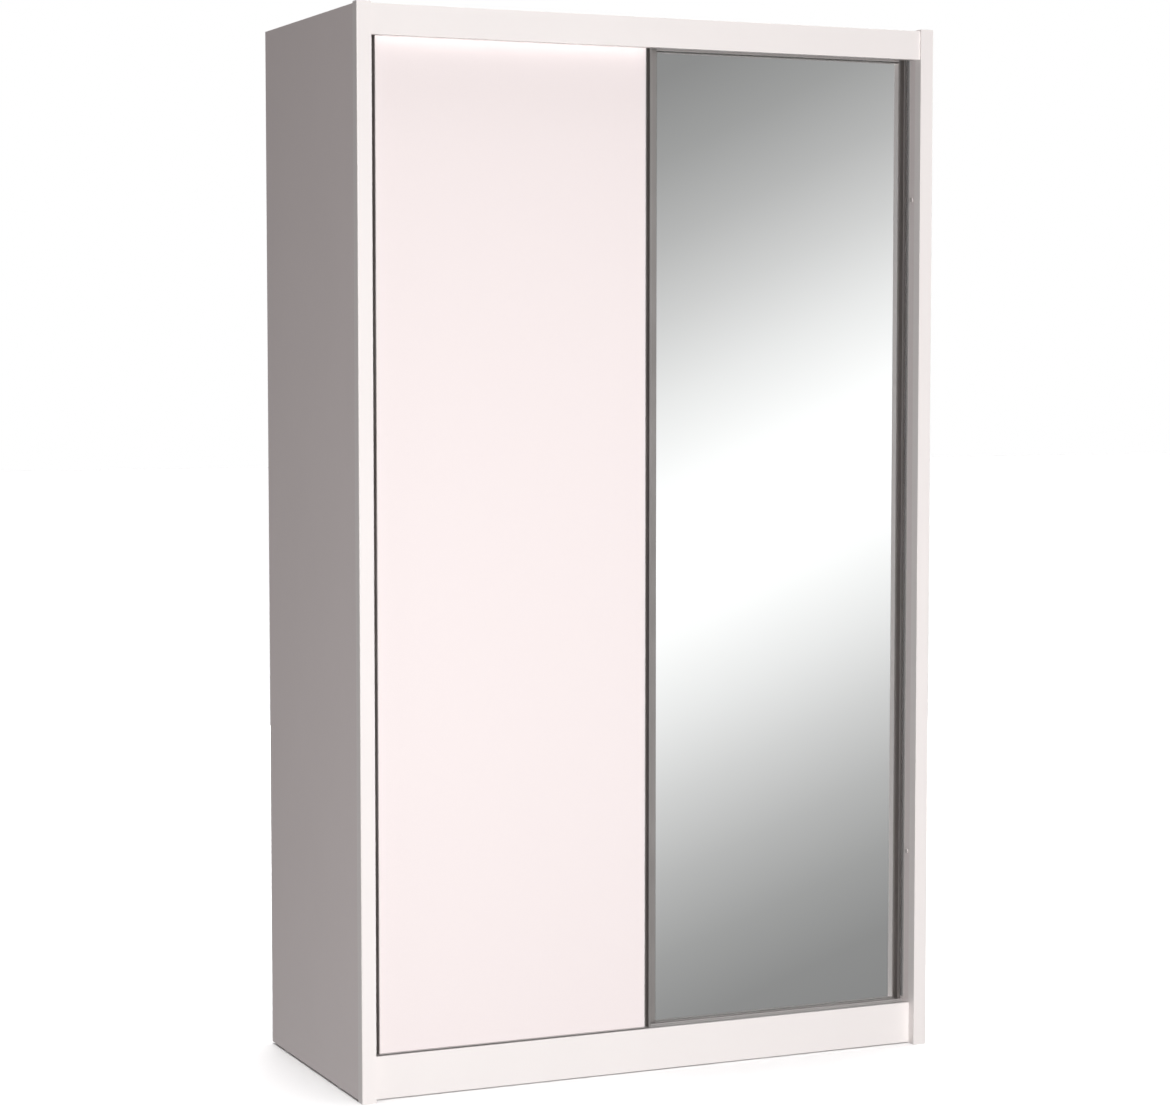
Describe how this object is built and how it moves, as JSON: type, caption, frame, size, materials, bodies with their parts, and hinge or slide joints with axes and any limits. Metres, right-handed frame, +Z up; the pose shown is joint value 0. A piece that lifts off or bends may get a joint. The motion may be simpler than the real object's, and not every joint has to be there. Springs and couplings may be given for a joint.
{
  "type": "sliding door wardrobe",
  "caption": "Tall white wardrobe with a plain front door and a full-height mirror door that slide past each other on a double track, with shelves and a hanging rail inside.",
  "frame": {"origin": "on the floor, in the middle of the width and of the depth", "axes": "+Z up, doors face -Y, +X to the right seen from the front"},
  "size_m": [1.2, 0.54, 2.02],
  "materials": {
    "white_board": "satin",
    "white_door": "gloss",
    "hardboard": "matte",
    "aluminium": "satin",
    "mirror": "polished",
    "backing": "matte",
    "chrome": "polished",
    "zinc": "satin",
    "grey_plastic": "matte",
    "white_plastic": "satin",
    "brush": "matte",
    "rubber": "matte"
  },
  "bodies": {
    "carcass": {"left_side_panel": "white_board", "right_side_panel": "white_board", "left_front_post": "white_board", "right_front_post": "white_board", "left_jamb_liner": "white_board", "right_jamb_liner": "white_board", "top_panel": "white_board", "bottom_panel": "white_board", "front_plinth": "white_board", "rear_plinth": "white_board", "centre_stretcher": "white_board", "top_fascia": "white_board", "centre_partition": "white_board", "left_hat_shelf": "white_board", "right_hat_shelf": "white_board", "lower_shelf": "white_board", "middle_shelf": "white_board", "upper_shelf": "white_board", "left_back_board": "hardboard", "right_back_board": "hardboard", "back_board_nails": "zinc", "cam_locks": "zinc", "cam_bolts": "zinc", "track_screws": "zinc", "shelf_pins": "zinc", "floor_glides": "white_plastic", "plinth_brackets": "white_plastic", "hanging_rail": "chrome", "left_rail_socket": "chrome", "right_rail_socket": "chrome", "bottom_track": "aluminium", "top_track": "aluminium", "left_dust_strip": "brush", "right_dust_strip": "brush", "door_buffers": "rubber"},
    "front_door": {"front_door_panel": "white_door", "front_door_left_stile": "aluminium", "front_door_right_stile": "aluminium", "front_door_bottom_strip": "aluminium", "front_door_top_strip": "aluminium", "front_door_top_guides": "grey_plastic", "front_left_roller_housing": "grey_plastic", "front_right_roller_housing": "grey_plastic", "front_wheel_axles": "zinc", "door_brush_seal": "brush"},
    "rear_door": {"mirror_glass": "mirror", "mirror_backing_board": "backing", "rear_door_left_stile": "aluminium", "rear_door_right_stile": "aluminium", "rear_door_bottom_strip": "aluminium", "rear_door_top_strip": "aluminium", "rear_door_top_guides": "grey_plastic", "rear_left_roller_housing": "grey_plastic", "rear_right_roller_housing": "grey_plastic", "rear_wheel_axles": "zinc"},
    "front_left_wheel": {"front_left_wheel": "white_plastic"},
    "front_right_wheel": {"front_right_wheel": "white_plastic"},
    "rear_left_wheel": {"rear_left_wheel": "white_plastic"},
    "rear_right_wheel": {"rear_right_wheel": "white_plastic"}
  },
  "joints": [
    {"name": "front_door_slide", "type": "slide", "parent": "carcass", "child": "front_door", "axis": [1, 0, 0], "range_m": [0, 0.57]},
    {"name": "rear_door_slide", "type": "slide", "parent": "carcass", "child": "rear_door", "axis": [1, 0, 0], "range_m": [-0.552, 0]},
    {"name": "front_left_wheel_spin", "type": "hinge", "parent": "front_door", "child": "front_left_wheel", "pos_m": [-0.48, -0.236, 0.0945], "axis": [0, 1, 0], "range_deg": [-5, 3000]},
    {"name": "front_right_wheel_spin", "type": "hinge", "parent": "front_door", "child": "front_right_wheel", "pos_m": [-0.09, -0.236, 0.0945], "axis": [0, 1, 0], "range_deg": [-5, 3000]},
    {"name": "rear_left_wheel_spin", "type": "hinge", "parent": "rear_door", "child": "rear_left_wheel", "pos_m": [0.072, -0.208, 0.0945], "axis": [0, 1, 0], "range_deg": [-2900, 5]},
    {"name": "rear_right_wheel_spin", "type": "hinge", "parent": "rear_door", "child": "rear_right_wheel", "pos_m": [0.48, -0.208, 0.0945], "axis": [0, 1, 0], "range_deg": [-2900, 5]}
  ],
  "couplings": [
    {"joint": "front_left_wheel_spin", "follows": "front_door_slide", "rad_per_m": 90.909},
    {"joint": "front_right_wheel_spin", "follows": "front_door_slide", "rad_per_m": 90.909},
    {"joint": "rear_left_wheel_spin", "follows": "rear_door_slide", "rad_per_m": 90.909},
    {"joint": "rear_right_wheel_spin", "follows": "rear_door_slide", "rad_per_m": 90.909}
  ]
}
